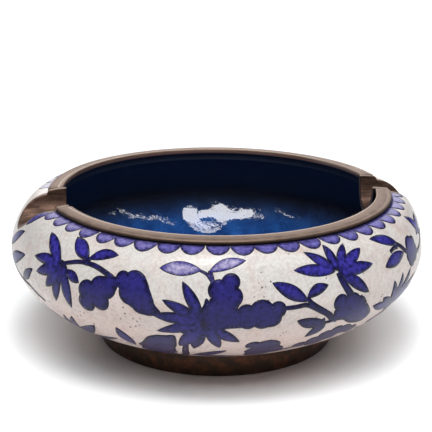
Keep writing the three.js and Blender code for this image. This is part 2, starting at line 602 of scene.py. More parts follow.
def smooth(points, closed, steps=5):
    """A smooth line through the points."""
    points = [np.array(p, float) for p in points]
    count = len(points)
    line = []
    for i in range(count if closed else count - 1):
        if closed:
            a, b, c, d = (points[(i + k) % count] for k in (-1, 0, 1, 2))
        else:
            a, b, c, d = (points[min(max(i + k, 0), count - 1)] for k in (-1, 0, 1, 2))
        square = 2 * a - 5 * b + 4 * c - d
        cube = 3 * b - a - 3 * c + d
        for j in range(steps):
            t = j / steps
            line.append(0.5 * (2 * b + (c - a) * t + square * t**2 + cube * t**3))
    return line if closed else [*line, points[-1]]


def stem(points, width, end_width):
    """A twig along the points, from one width to the other."""
    middle = smooth(points, False)
    left, right = [], []
    for i, point in enumerate(middle):
        run = middle[min(i + 1, len(middle) - 1)] - middle[max(i - 1, 0)]
        side = np.array([-run[1], run[0]]) / np.hypot(*run)
        half = (width + (end_width - width) * i / (len(middle) - 1)) / 2
        left.append(point + side * half)
        right.append(point - side * half)
    return left + right[::-1]


def patch(*points):
    """A free shape through the points."""
    return smooth(points, True)


# each spray: where its middle is (degrees from the front, mm below the band), then its shapes round it,
# in mm to the right and down; where shapes overlap, the one named first is in front
sprays = [
    (-54.75, 14.0, {
        "petal": [
            almond((-10.9, -7.3), (-0.3, 0.3), 3.8, 0.52, 0.2),
            almond((-13.9, 0.8), (0.2, -0.1), 3.0, 0.5, 0.4),
            almond((-11.4, 4.7), (0.0, 0.4), 3.3),
            almond((-6.2, 7.7), (0.5, 0.6), 3.7),
            almond((-2.7, 11.7), (0.2, 0.5), 3.4, 0.5, -0.2),
            almond((4.0, 12.1), (1.0, 0.4), 3.6, 0.52, -0.7),
            almond((7.8, 3.2), (0.8, 0.8), 2.7, 0.6, -0.3),
        ],
        "leaf": [
            almond((0.4, -9.2), (9.1, -3.3), 4.1, 0.52, -0.1),
            almond((17.7, -6.7), (8.8, -3.9), 3.2, 0.5, -0.9),
        ],
        "fill": [
            *discs((-0.6, 2.0, 3.3), (8.9, -3.4, 0.75)),
            stem(
                [
                    (0.2, -0.6), (2.8, -1.5), (6, -2.4), (9, -2.65), (12, -2.4), (15, -1.6),
                    (18.2, -0.4), (20.2, 0.9),
                ],
                0.9, 1.4,
            ),
            *discs(
                (11.0, 4.6, 2.85), (10.9, 8.3, 2.75), (15.7, 6.8, 2.85), (15.0, 2.9, 3.0),
                (17.4, 2.9, 3.0), (13.8, 5.6, 3.4),
            ),
            patch((13.5, 0.6), (16.5, -0.2), (19.6, -0.4), (20.6, 1.2), (20.0, 3.4), (15, 5)),
        ],
    }),
    (-14.0, 24.5, {
        "petal": [
            almond((-6.2, -12.0), (-0.6, -1.6), 3.1),
            almond((-11.7, -6.7), (-1.0, -1.8), 2.9),
            almond((-14.6, -2.2), (-0.5, -0.9), 3.5),
            almond((-13.4, 3.7), (-0.5, -0.3), 3.4),
            almond((-7.4, 11.0), (-1.0, 0.5), 4.6),
            almond((-3.5, 12.4), (-0.6, 0.5), 3.5),
            almond((3.7, 11.3), (0.0, 0.3), 3.3, 0.5, -0.4),
            almond((9.3, 7.8), (0.5, 0.0), 3.7, 0.55, 0.1),
        ],
        "fill": [
            *discs((-2.6, 0.6, 4.9), (2.2, -1.3, 4.2)),
            patch((-26.2, -10.6), (-24.4, -11.2), (-22.4, -8), (-24.4, -8.4)),
            *discs((-23.1, -10.9, 2.3), (-19.5, -10.4, 3.4), (-21.0, -7.6, 3.4), (-17.4, -5.2, 3.3)),
            patch(
                (-22, -12.2), (-17, -12), (-15.2, -8.6), (-14.0, -5.2), (-12.3, -2.9), (-14.8, -1.8),
                (-17.3, -2.0), (-20.5, -3.6), (-23, -6.2),
            ),
            patch(
                (3, -4.6), (9, -4.7), (12, -5.2), (17, -5), (20.2, -4.6), (19, 0), (14, 0.9), (9, 1.2),
                (6, 1.4), (3, 2.2),
            ),
            *discs(
                (11.2, -3.5, 2.5), (15.4, -3.6, 3.5), (19.9, -3.9, 2.4), (18.0, -1.5, 3.0),
                (15.7, -1.0, 2.9), (11.6, -0.6, 2.3),
            ),
            stem(
                [
                    (21.8, -4.2), (25.0, -4.2), (28.2, -4.4), (30.4, -3.4), (32.8, -1.8), (35, -0.2),
                    (36.5, 1.8),
                ],
                1.0, 1.3,
            ),
            *discs((3.7, -10.0, 2.9), (7.2, -8.1, 2.9), (6.8, -12.1, 2.45)),
            patch(
                (-0.4, -3.8), (-0.1, -6.2), (0.3, -7.6), (1.2, -6.8), (2, -8), (8, -10), (9.7, -8),
                (8.9, -5.4), (7.6, -3.6),
            ),
        ],
        "pale leaf": [
            almond((-12.6, -15.3), (-1.3, -15.4), 3.9, 0.5, 0.3),
            almond((10.7, -18.2), (1.0, -15.0), 3.2, 0.5, -0.7),
        ],
        "pale stem": [
            stem([(2.1, -11.2), (1.8, -12.8), (1.4, -14.2), (1.2, -15.2)], 1.0, 0.9),
            stem([(1.5, -12.8), (0.3, -14.3), (-1.7, -15.3)], 0.8, 0.35),
        ],
    }),
    (20.25, 12.5, {
        "petal": [
            almond((-12.9, -2.3), (-0.4, -0.2), 3.3, 0.5, 0.3),
            almond((-8.0, -7.3), (-0.3, -0.5), 2.9, 0.48),
            almond((-1.0, -8.8), (0.1, -0.3), 2.7, 0.48),
            almond((5.4, -7.7), (0.4, -0.3), 2.8, 0.48),
            almond((10.6, -5.0), (0.6, -0.2), 3.4, 0.55, 0.1),
            almond((13.7, 0.4), (0.6, 0.0), 3.5, 0.48),
            almond((11.2, 8.0), (0.9, 0.2), 3.3, 0.52, -0.2),
        ],
        "leaf": [
            almond((-19.7, 0.5), (-10.0, 6.6), 3.9, 0.5, 0.1),
            almond((-3.4, 3.0), (-10.2, 5.6), 3.0, 0.5, -0.6),
        ],
        "fill": [
            disc(2.6, -0.7, 1.8),
            stem([(0.4, 0.3), (1.2, 2.4), (2.5, 4.6), (4.1, 7.2)], 1.2, 2.2),
            stem(
                [
                    (-10.2, 5.6), (-9.2, 7.0), (-7.6, 8.4), (-5.2, 10.1), (-2.8, 11.9), (-1, 13.6),
                    (0.8, 15.0),
                ],
                1.0, 1.5,
            ),
            almond((-12.7, 12.3), (-2.8, 15.0), 3.7, 0.5, -0.5),
            almond((-7.5, 20.7), (-4.2, 12.8), 3.9, 0.5, -1.1),
            stem([(-3.4, 14.8), (-1, 14.8), (1.5, 14.4)], 0.9, 0.9),
            *discs((0.7, 8.8, 2.4), (4.4, 10.4, 3.7), (7.0, 11.6, 3.4)),
            patch(
                (-0.2, 10.5), (-0.9, 12.8), (0.4, 14.8), (3.2, 15.4), (5.5, 17.2), (8.2, 18.6),
                (12.5, 19.5), (14.5, 17), (13.4, 14.6), (11.0, 11.6), (9, 10),
            ),
        ],
    }),
    (44.75, 14.7, {
        "petal": [
            almond((x, y), (-0.6, 15.6), width)
            for x, y, width in (
                (-12.7, 11.4, 3.2), (-8.6, 9.9, 3.0), (-4.1, 5.7, 3.1), (1.2, 4.7, 3.1), (7.2, 4.9, 3.2),
                (12.5, 8.2, 3.4), (16.5, 13.2, 3.4),
            )
        ],
        "leaf": [
            almond((-9.7, -8.8), (0.9, -4.0), 3.2, 0.5, 0.6),
            almond((-8.2, 0.5), (3.2, -0.9), 3.9, 0.5, 0.2),
            almond((14.8, -9.3), (24.5, 0.0), 3.2),
            almond((26.5, -6.5), (17.5, -2.2), 3.2),
        ],
        "fill": [
            stem([(-4.2, -3.0), (-2, -3.6), (0.2, -3.4)], 0.9, 0.9),
            stem([(0.5, -4.2), (2.3, -2.9), (3.9, -1.5), (5.8, -0.2)], 1.0, 1.2),
            *discs(
                (8.0, -1.8, 2.7), (10.7, -1.2, 2.5), (12.0, 1.6, 2.6), (9.0, 2.0, 2.9), (7.0, 0.9, 2.0),
            ),
            stem([(14.0, 2.2), (18, 2.0), (22, 0.6), (26, -1.6)], 1.1, 1.1),
            disc(-0.4, 14.8, 2.8),
            stem([(-0.6, 15.6), (-1.6, 18.2), (-3.6, 20.2), (-6.4, 21.5)], 1.0, 1.8),
        ],
    }),
    (83.0, 29.0, {
        "petal": [
            almond((-7.5, -2.5), (-0.2, 2.0), 3.0, 0.5, 0.3),
            almond((-3.4, -6.0), (-0.1, 2.0), 3.0),
            almond((2.2, -6.4), (0.1, 2.0), 3.0),
            almond((7.2, -3.0), (0.2, 2.0), 3.0, 0.5, -0.3),
        ],
        "fill": [
            disc(0.0, 2.0, 1.7),
            stem([(0.0, 3.0), (-0.8, 5.4), (-2.6, 7.6), (-5.2, 9.0)], 0.9, 1.2),
        ],
        "leaf": [
            almond((6.4, 8.2), (-1.6, 6.6), 3.2, 0.5, 0.4),
        ],
    }),
    (-66.25, 16.5, {
        "leaf": [
            almond((-14.0, -5.4), (-27.5, 2.4), 2.9),
            almond((-7.2, -0.1), (-24.5, 6.4), 3.6, 0.45),
            almond((-0.9, 2.3), (-9.6, 7.9), 2.7, 0.5, 0.2),
        ],
        "fill": [
            stem(
                [(-22, 5.4), (-18, 7.2), (-13, 8.6), (-8.8, 8.9), (-5, 9.2), (-1.5, 10.8), (2.2, 12.1)],
                1.5, 1.0,
            ),
            disc(-1.6, 10.8, 1.0),
        ],
    }),
    (-35.0, 32.7, {
        "petal": [
            almond((-11.3, -1.2), (-25, 14), 4.4),
            almond((-19.8, -2.2), (-26, 14), 3.6),
            almond((-24.2, -0.9), (-27, 14), 3.4),
            almond((-33.5, 1.5), (-28, 14), 3.4),
            almond((-5.3, 4.2), (-24, 15.5), 2.9, 0.45),
            almond((-4.5, 13.5), (-24, 16.5), 3.4),
            almond((-40, 6.5), (-29, 15), 3.4),
        ],
        "leaf": [
            almond((-3.1, -3.1), (-0.9, 7.5), 4.0),
            almond((26.2, 5.6), (14.5, 12.6), 3.0),
            almond((27.5, 14.5), (13.8, 12.8), 3.2),
        ],
        "fill": [
            disc(-26, 14.8, 3.6),
            patch(
                (14.2, -2.8), (11.5, -2.7), (8.6, -2.3), (6, -0.9), (4.3, 1.4), (2.9, 3.8), (3.6, 6.5),
                (7.5, 8.8), (11, 7.8), (11.8, 5.2), (13.2, 2.2),
            ),
            *discs((4.4, 6.8, 3.5), (3.6, 11.2, 3.7), (8.6, 8.6, 2.6), (6.2, 13.8, 3.5)),
            stem([(16.8, -0.4), (15.5, 3.6), (14.0, 7.8), (12.6, 12.2), (9.6, 16.5)], 1.1, 2.0),
        ],
    }),
    (10.25, 28.7, {
        "petal": [
            almond((24.5, 9.5), (34.5, 17.5), 3.4),
            almond((31.0, 5.5), (35.5, 17.0), 3.4),
            almond((38.5, 5.2), (36.5, 17.0), 3.4),
            almond((21.5, 15.8), (34.5, 18.0), 3.4),
            almond((45.5, 8.5), (37.5, 17.5), 3.4),
        ],
        "fill": [
            *discs(
                (-11.8, 6.0, 2.1), (-7.8, 7.6, 4.1), (-9.5, 10.9, 3.2), (-5.6, 11.8, 4.2),
                (-7.8, 14.8, 3.8), (13.8, 4.6, 2.4), (10.4, 5.9, 2.5), (7.3, 8.4, 2.5),
                (16.9, 5.4, 2.7), (12.6, 7.8, 3.0), (3.6, 10.4, 2.2), (8.6, 11.4, 2.8),
                (20.2, 7.0, 2.4),
            ),
            stem([(-5.2, 15.5), (-1.5, 13.6), (2.4, 11.6)], 1.6, 1.2),
            disc(35.5, 17.4, 3.2),
        ],
    }),
]
sheet_scale = 60.0  # mm for each radian round the bowl where the cells are laid out flat
band_gap = 0.05  # mm of the outline that the pattern leaves free at the band
foot_gap = 0.1  # and at the foot
cell_grid = 1.0
same_point = 1e-4
slot_start = -2.0  # mm down the outline, which is just above the band
slot_reach = 20.0  # and further down than the rests' slots go
slot_stops = 90


def laid_out(turn, down, shape):
    """A shape near (turn, down) on the flat sheet that the whole pattern is laid out on."""
    shape = np.array(shape, float)
    depth = np.clip(down + shape[:, 1], band_gap, outline_length - foot_gap)
    radius, _ = outline_at(depth)
    return np.stack([(math.radians(turn) + shape[:, 0] / radius) * sheet_scale, depth], axis=1)


def slot_on_sheet(rest):
    """The edge of a rest's slot, on the same sheet."""
    first, second = [], []
    for down in np.linspace(slot_start, slot_reach, slot_stops):
        radius, height = outline_at(max(down, 0))
        sides = across_slot(rest, radius, height, slot_margin)
        if sides is None:
            break
        first.append((math.radians(sides[0]) * sheet_scale, down))
        second.append((math.radians(sides[1]) * sheet_scale, down))
    return np.array(first + second[::-1])


def inside(points, ring):
    """Which points lie inside a closed ring."""
    x, y = points[:, 0], points[:, 1]
    found = np.zeros(len(points), bool)
    before = np.roll(ring, 1, axis=0)
    for (x1, y1), (x2, y2) in zip(ring, before):
        if y1 == y2:
            continue
        crosses = (y1 > y) != (y2 > y)
        found ^= crosses & (x < (x2 - x1) * (y - y1) / (y2 - y1) + x1)
    return found


class Cells:
    """Shapes on the flat sheet, cut into cells: their faces, and the lines that the wires follow."""

    def __init__(self, shapes, slots, hearts=()):
        self.hearts = hearts
        self.rings = [ring for _, ring in shapes]
        self.kinds = [kind for kind, _ in shapes]
        everything = np.concatenate(self.rings)
        low, high = everything.min(0), everything.max(0)
        rows = np.arange(low[1], high[1], cell_grid)
        columns = np.arange(low[0], high[0], cell_grid)
        grid = np.array(
            [(x + (row % 2) * cell_grid / 2, y) for row, y in enumerate(rows) for x in columns]
        )
        wanted = np.zeros(len(grid), bool)
        for ring in self.rings:
            wanted |= inside(grid, ring)
        points = [Vector(p) for p in grid[wanted]]
        edges = []
        for ring in [*self.rings, *slots]:
            first = len(points)
            points += [Vector(p) for p in ring]
            edges += [(first + i, first + (i + 1) % len(ring)) for i in range(len(ring))]
        made = geometry.delaunay_2d_cdt(points, edges, [], 0, same_point, False)
        self.points = np.array([tuple(p) for p in made[0]])
        faces = np.array([tuple(f) for f in made[2]])
        centres = self.points[faces].mean(axis=1)
        owner = np.full(len(faces), -1)
        for i in reversed(range(len(self.rings))):
            owner[inside(centres, self.rings[i])] = i
        for slot in slots:
            owner[inside(centres, slot)] = -1
        self.faces = faces[owner >= 0]
        self.owner = owner[owner >= 0]
        sides = {}
        for face, own in zip(faces, owner):
            for a, b in zip(face, np.roll(face, -1)):
                sides.setdefault((min(a, b), max(a, b)), []).append(own)
        self.edges = []
        self.inner_edges = []
        for edge, owners in sides.items():
            a, b = owners[0], owners[-1] if len(owners) > 1 else -1
            if (a < 0) != (b < 0):
                self.edges.append(edge)
            elif a != b and (self.kinds[a], self.kinds[b]) != ("fill", "fill"):
                self.inner_edges.append(edge)


# below 0 the blue is darker, up to 1 it turns milky, and above 1 it is worn off
paleness = {
    "fill": -0.42,
    "pale leaf": 0.85,
    "pale stem": 0.3,
    "scallop": 0.22,
    "faded scallop": 0.33,
    "pale scallop": 0.46,
    "worn scallop": 1.8,
}
heart_size = 1.9  # the grey middle of a flower, in mm
heart_middle = (0.0, -0.2)
flowers = sprays[:3]  # the sprays that have one
edge_reach = 1.5  # how far the dark of a wire spreads into the enamel
inner_reach = 1.6
inner_floor = 0.35  # the inner wires' dark is weaker by this


def sheet_mesh(name, cells, turn, lift):
    """The cells' enamel as a mesh on the bowl."""
    used, faces = np.unique(cells.faces, return_inverse=True)
    faces = faces.reshape(cells.faces.shape)
    flat = cells.points[used]
    places = on_bowl(np.degrees(flat[:, 0] / sheet_scale) + turn, flat[:, 1], lift)
    mesh = bpy.data.meshes.new(name)
    mesh.from_pydata(places.tolist(), [], faces.tolist())
    pool = np.ones(len(flat))
    borders = ((cells.edges, 0.0, edge_reach), (cells.inner_edges, inner_floor, inner_reach))
    for edges, floor, reach in borders:
        if edges:
            edge_points = cells.points[np.unique(np.array(edges))]
            for i, point in enumerate(flat):
                away = np.hypot(*(edge_points - point).T).min()
                pool[i] = min(pool[i], floor + away / reach)
    mesh.attributes.new("pool", "FLOAT", "POINT").data.foreach_set("value", pool)
    pale = np.array([paleness.get(cells.kinds[o], 0.0) for o in cells.owner])
    mesh.attributes.new("pale", "FLOAT", "FACE").data.foreach_set("value", pale)
    heart = np.zeros(len(flat))
    for place in cells.hearts:
        heart = np.maximum(heart, 1 - np.hypot(*(flat - place).T) / heart_size)
    mesh.attributes.new("heart", "FLOAT", "POINT").data.foreach_set("value", heart)
    return mesh


# mottled blue, darker at the wires, with painted shade low on the bowl and a painted reflection of the
# pale floor, greyer, near the bottom, with pinholes
blue = Finish("blue_enamel")
pool = blue.attribute("pool")
pale = blue.attribute("pale")
mottle = blue.noise(1.2, 4.0, 0.7)
clear = (pool * 0.8 + (mottle - 0.5) * 2.8 + 0.02).clamped()
rich = blue.mix(clear, colour(12, 13, 42), colour(58, 52, 148))
rich = blue.mix((0 - pale).clamped(), rich, colour(24, 22, 36))
cloudy = ((mottle - 0.5) * 2.4 + pool * 0.6 + 0.08).clamped()
milk = blue.mix(cloudy, colour(58, 52, 124), colour(176, 168, 188))
pin = blue.specks(1.6, 0.1)
# painted shade: the blue darkens lower on the bowl
painted_shade_low = 1 - blue.z.between(31 * mm, 43 * mm)
rich = blue.mix(painted_shade_low * 0.5, rich, colour(20, 20, 46))
# painted reflection of the pale floor: the blue turns greyer near the bottom
painted_floor_reflection = 1 - blue.z.between(12 * mm, 26 * mm)
rich = blue.mix(painted_floor_reflection * 0.6, rich, colour(62, 46, 62))
heart = blue.attribute("heart") * mottle.between(0.3, 0.55)
rich = blue.mix(heart * 0.5, rich, colour(38, 32, 34))
tint = blue.mix(pale.clamped(), rich, milk)
tint = blue.mix((pale - 1).clamped(), tint, colour(172, 167, 178))
tint = blue.mix(pin * 0.35, tint, colour(150, 150, 200))
blue_enamel = blue.surface(
    Base_Color=tint,
    Roughness=0.22 + mottle * 0.16,
    IOR=1.45,
    Specular_IOR_Level=0.22,
    Normal=blue.bump(blue.noise(3.0, 3.0) - pin * 0.3, 0.1),
)

wire = Finish("copper_wire")
tarnish = wire.noise(2.0, 3.0, 0.6)
copper_wire = wire.surface(
    Base_Color=wire.mix(tarnish.between(0.45, 0.75), colour(12, 12, 24), colour(44, 36, 42)),
    Metallic=0.2,
    Roughness=0.5 + tarnish * 0.2,
)

# bent wire: each line of the sheet becomes a round wire, sunk in the enamel but for its crown
bent = NodeTree("Bent wire", {"Radius": "Float", "Sides": "Int", "Material": "Material"})
path = bent.add("MeshToCurve", None, {0: bent.given["Geometry"]})
section = bent.add(
    "CurvePrimitiveCircle",
    None,
    {"Resolution": bent.given["Sides"], "Radius": bent.given["Radius"]},
)
bent.finish(bent.add("CurveToMesh", None, {0: path, 1: section, "Fill Caps": True}))

cell_lift = 0.06  # how far the blue enamel stands off the white
cell_depth = 0.2
wire_crown = 0.07  # and the wires
wire_radius = 0.36
wire_sides = 8
thin_radius = 0.22  # the wires between the petals
thin_sides = 6


def bent_wires(name, cells, edges, turn, radius, sides):
    """Wires along some of the cells' edges."""
    used, pairs = np.unique(np.array(edges), return_inverse=True)
    flat = cells.points[used]
    angles = np.degrees(flat[:, 0] / sheet_scale) + turn
    places = on_bowl(angles, flat[:, 1], wire_crown - radius)
    mesh = bpy.data.meshes.new(name)
    mesh.from_pydata(places.tolist(), pairs.reshape(-1, 2).tolist(), [])
    return bent.grow(name, mesh, Radius=radius * mm, Sides=sides, Material=copper_wire)


def enamelled(name, cells, turn):
    """The filled cells and the wires round them, as two or three pieces."""
    filled = new_object(name + "_cells", sheet_mesh(name, cells, turn, cell_lift))
    thick = filled.modifiers.new("depth", "SOLIDIFY")
    thick.thickness = cell_depth * mm
    thick.offset = 1.0  # the sheet's faces point into the bowl, and so does its depth
    filled.data.materials.append(blue_enamel)
    filled = settled(filled, name + "_cells")
    pieces = [filled]
    pieces.append(bent_wires(name + "_wires", cells, cells.edges, turn, wire_radius, wire_sides))
    if cells.inner_edges:
        inner = bent_wires(
            name + "_inner_wires", cells, cells.inner_edges, turn, thin_radius, thin_sides
        )
        pieces.append(inner)
    for piece in pieces:
        for face in piece.data.polygons:
            face.use_smooth = True
        out_of_true(piece)
        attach(piece, "root")


# the sprays go round the front half, and once more round the back
slots = [slot_on_sheet(rest) for rest in rests.values()]
whole_turn = 2 * math.pi * sheet_scale
half_turn = whole_turn / 2
for side, turn in (("front", 0.0), ("back", 180.0)):
    shapes = [
        (kind, laid_out(turn_to, down, shape))
        for turn_to, down, kinds in sprays
        for kind, drawn in kinds.items()
        for shape in drawn
    ]
    nearby = []
    for slot in slots:
        middle = slot[:, 0].mean() - math.radians(turn) * sheet_scale
        middle = (middle + half_turn) % whole_turn - half_turn
        nearby.append(slot + [middle - slot[:, 0].mean(), 0])
    hearts = [laid_out(turn_to, down, [heart_middle])[0] for turn_to, down, _ in flowers]
    enamelled("spray_" + side, Cells(shapes, nearby, hearts), turn)


# The border: a row of scallops hangs from the band, each its own cell of paler, streaky blue, wired and
# filled as the flowers are.

scallop_count = 52
scallop_pitch = 360 / scallop_count
scallop_phase = 2.74
scallop_centre = 0.75  # mm below the band
scallop_sway = 0.2  # degrees
scallop_depths = (3.5, 4.1)
scallop_halves = (3.15, 3.35)  # half their widths
scallop_points = 32
# they are richest at the front and the back, paler towards the rests, and worn off behind them: ranges
# of the bearing in degrees from the front
scallop_zones = {
    "scallop": ((-180, -128), (-32, 56), (128, 180)),
    "pale scallop": ((-94, -58), (76, 94)),
    "worn scallop": ((-116, -94), (94, 116)),
}
first_lost, last_lost = 94, 103  # and here, on both sides, none is left


def scallop_kind(bearing):
    for kind, zones in scallop_zones.items():
        if any(low <= bearing < high for low, high in zones):
            return kind
    return "faded scallop"


scallops = []
for k in range(scallop_count):
    turn = scallop_phase + k * scallop_pitch + random.uniform(-scallop_sway, scallop_sway)
    depth = random.uniform(*scallop_depths)
    half = random.uniform(*scallop_halves)
    ring = [
        (half * math.sin(angle), max(scallop_centre - depth * math.cos(angle), 0.0))
        for angle in np.linspace(0, 2 * math.pi, scallop_points, endpoint=False)
    ]
    bearing = (turn + 180) % 360 - 180
    if not first_lost < abs(bearing) < last_lost:
        scallops.append((scallop_kind(bearing), laid_out(turn, 0.0, ring)))
# a long cell runs down along the left rest
beside_rest = almond((3.0, -4.6), (-3.6, 4.6), 2.8)
scallops.append(("scallop", laid_out(-77.8, 5.0, beside_rest)))
enamelled("scallops", Cells(scallops, slots), 0.0)


# The foot ring: a turned bronze ring, soldered under the bowl. It tapers a little to the table, and it
# is dark with age, with red patches where it is worn.

foot_seat_radius = in_mm(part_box("foot_ring")[1][0])
foot_base_radius = 37.5
foot_wall = 2.6
foot_edge = 0.5
foot_crease = 40


def eased(corners, ease, steps=5):
    """A closed profile with each of its corners rounded."""
    points = []
    corners = [np.array(c, float) for c in corners]
    for before, corner, after in zip(corners[-1:] + corners, corners, corners[1:] + corners[:1]):
        into, out = before - corner, after - corner
        into *= min(ease / np.hypot(*into), 0.5)
        out *= min(ease / np.hypot(*out), 0.5)
        for t in np.linspace(0, 1, steps):
            points.append(tuple(corner + into * (1 - t) ** 2 + out * t**2))
    return points


dark = Finish("dark_bronze")
patina = dark.noise(6, 4.0, 0.6)
scale = dark.noise(1.2, 3.0, 0.6)
red = patina.between(0.45, 0.65) * 0.8
aged = dark.mix(red, colour(76, 60, 49), colour(124, 78, 56))
dark_bronze = dark.surface(
    Base_Color=dark.mix(scale * 0.4, aged, colour(36, 29, 25)),
    Metallic=0.75,
    Roughness=0.38 + scale * 0.25,
    Normal=dark.bump(scale, 0.06),
)
foot_profile = eased(
    [
        (foot_base_radius - foot_wall, 0.0),
        (foot_base_radius, 0.0),
        (foot_seat_radius, foot_height),
        (foot_seat_radius - foot_wall, foot_height),
    ],
    foot_edge,
)
foot = rounded(turned("foot", foot_profile, dark_bronze, bowl_flats, closed=True), foot_crease)
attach(foot, "root")
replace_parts(foot, "foot_ring")


# The rim: a flat bronze band, sawn in two halves and soldered on the mouth, one half before and one
# behind the rests. Its edges are eased and its ends stop a hair short of the rests.

band_ease = 0.55
band_fall = 0.4
band_step = 1.0  # mm between sections
end_ease = 0.35
corner = 1.0  # the outer corners at the ends are filed round
end_sections = 7
band_crease = 50

# worn bronze, stained along its middle, with painted highlights in thin bright lines along its edges and
# painted shade down its sides
rim_metal = Finish("rim_bronze")
drift = rim_metal.noise(22, 3.0, 0.6)
stain = rim_metal.noise(4, 4.0, 0.65)
grain = rim_metal.noise(0.7, 3.0, 0.6)
# worn stands for the rim's whole colour: wear and stains, with painted highlights and painted shade mixed
# in further down
worn = rim_metal.mix(drift, colour(124, 101, 86), colour(160, 136, 120))
worn = rim_metal.mix(stain.between(0.52, 0.75) * 0.6, worn, colour(112, 90, 76))
radius = (rim_metal.x * rim_metal.x + rim_metal.y * rim_metal.y) ** 0.5
streak = radius.between(51.3 * mm, 52.9 * mm) * (1 - radius.between(53.1 * mm, 53.6 * mm))
worn = rim_metal.mix(streak * stain.between(0.3, 0.6) * 0.6, worn, colour(96, 68, 54))
# painted highlights: thin bright lines along the band's eased inner and outer edges
inner_highlight = radius.between(49.6 * mm, 49.8 * mm) * (1 - radius.between(50.1 * mm, 50.5 * mm))
outer_highlight = radius.between(53.2 * mm, 53.5 * mm) * (1 - radius.between(53.7 * mm, 53.9 * mm))
worn = rim_metal.mix(inner_highlight * 0.6 + outer_highlight * 0.12, worn, colour(210, 192, 178))
# painted shade down the band's sides: dark on the outer side, browner and less metallic on the inner side
band_side_shade = 1 - rim_metal.z.between(47.35 * mm, 47.9 * mm)
inner_side_shade = band_side_shade * (1 - radius.between(50.2 * mm, 51.0 * mm))
outer_side_shade = band_side_shade * radius.between(52.0 * mm, 53.0 * mm)
worn = rim_metal.mix(outer_side_shade * 0.85, worn, colour(40, 30, 28))
worn = rim_metal.mix(inner_side_shade * 0.85, worn, colour(118, 84, 72))
rim_bronze = rim_metal.surface(
    Base_Color=worn,
    Metallic=0.85 - inner_side_shade * 0.6,
    Roughness=0.42 + grain * 0.2,
    Normal=rim_metal.bump(grain * 0.5 + stain * 0.5, 0.05),
)


def band(name, first, last):
    """One half of the rim, from one rest round to the next."""
    corners = [
        (rim_inner_radius, band_seat),
        (rim_outer_radius, band_seat),
        (rim_outer_radius, rim_top - band_fall),
        (rim_inner_radius, rim_top),
    ]
    profile = np.array(eased(corners, band_ease))
    middle = (profile.min(0) + profile.max(0)) / 2
    size = (profile.max(0) - profile.min(0)) / 2
    starts = np.radians([across_slot(rests[first], r, z, slot_margin)[1] for r, z in profile])
    ends = np.radians([across_slot(rests[last], r, z, slot_margin)[0] for r, z in profile])
    if starts[0] > ends[0]:
        starts -= 2 * math.pi
    outer = np.clip((profile[:, 0] - rim_outer_radius) / corner + 1, 0, 1)
    filed_off = (1 - np.sqrt(1 - outer**2)) * corner / profile[:, 0]
    starts += filed_off
    ends -= filed_off
    count = round((ends[0] - starts[0]) * rim_outer_radius / band_step)
    near = np.linspace(0, 1, end_sections) ** 2 * end_ease
    places = []
    for away in near:
        places.append((starts + away / profile[:, 0], away))
    for t in np.linspace(0, 1, count)[1:-1]:
        places.append((starts + (ends - starts) * t, end_ease))
    for away in near[::-1]:
        places.append((ends - away / profile[:, 0], away))
    points = []
    for angles, away in places:
        inset = end_ease - math.sqrt(end_ease**2 - (end_ease - away) ** 2)
        shrunk = middle + (profile - middle) * (1 - inset / size)
        x = shrunk[:, 0] * np.sin(angles)
        y = -shrunk[:, 0] * np.cos(angles)
        points += (np.stack([x, y, shrunk[:, 1]], axis=1) * mm).tolist()
    ring = len(profile)
    faces = [tuple(range(ring)), tuple(range(len(points) - 1, len(points) - 1 - ring, -1))]
    for s in range(len(places) - 1):
        for i in range(ring):
            j = (i + 1) % ring
            faces.append((s * ring + i, s * ring + j, (s + 1) * ring + j, (s + 1) * ring + i))
    mesh = bpy.data.meshes.new(name)
    mesh.from_pydata(points, [], faces)
    mesh.materials.append(rim_bronze)
    made = rounded(new_object(name, mesh), band_crease)
    out_of_true(made)
    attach(made, "root")
    return made


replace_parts(band("rim_front", "left", "right"), "rim_band_front")
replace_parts(band("rim_back", "right", "left"), "rim_band_back")


# The cigar rests: two lengths of bronze sheet, bent to a half round, let into the slots with their
# edges filed flush with the rim and the shoulder, and soldered all round.

rest_setback = 0.06  # under the bowl's and the rim's faces
solder_setback = 0.15
worn_size = 0.2
worn_passes = 4
rest_crease = 180  # so that the worn sheet is smooth all over
filling_rings = 90
filed_from = 0.12  # the shares of the sheet's thickness where the filed edge starts to show,
filed_over = 0.25  # and over which it comes in

# bronze brushed across, darker than the rim, with its filed edge bright
rest_metal = Finish("rest_bronze")
brushed = rest_metal.noise(0.8, 4.0, 0.65, stretch=(0.14, 1, 1))
tarnish = rest_metal.noise(5, 4.0, 0.6)
old = rest_metal.mix(tarnish, colour(78, 58, 48), colour(128, 100, 86))
old = rest_metal.mix(brushed.between(0.4, 0.64) * 0.62, old, colour(36, 27, 22))
filed = rest_metal.attribute("filed")
bright_edge = rest_metal.mix(tarnish, colour(132, 110, 96), colour(172, 149, 132))
old = rest_metal.mix(filed, old, bright_edge)
rest_bronze = rest_metal.surface(
    Base_Color=old,
    Metallic=0.8,
    Roughness=0.42 + brushed * 0.2,
    Normal=rest_metal.bump(brushed, 0.05),
)

solder = Finish("solder")
solder_dark = solder.surface(Base_Color=colour(22, 18, 18), Metallic=0.4, Roughness=0.6)


def filled_in(setback):
    """Everything inside the bowl's and the rim's faces, as a solid."""
    band_edge = rim_top - band_fall - setback
    points = [
        (0.0, foot_height),
        *[outline_at(stop, -setback) for stop in np.linspace(outline_length, 0, filling_rings)],
        (rim_outer_radius - setback, band_edge - band_ease),
        (rim_outer_radius - setback - band_ease, band_edge),
        (rim_inner_radius + band_ease, rim_top - setback),
        (0.0, rim_top - setback),
    ]
    return rounded(turned("filled_in", points, None, bowl_flats))


def sheet_between(rest, inner, outer, setback):
    """Bent sheet between two sizes of a rest's channel, cut off at the bowl's and the rim's faces."""
    block = combined(channel(rest, outer, rest_lip), "INTERSECT", filled_in(setback))
    return combined(block, "DIFFERENCE", channel(rest, inner, rest_lip - rest_wall))


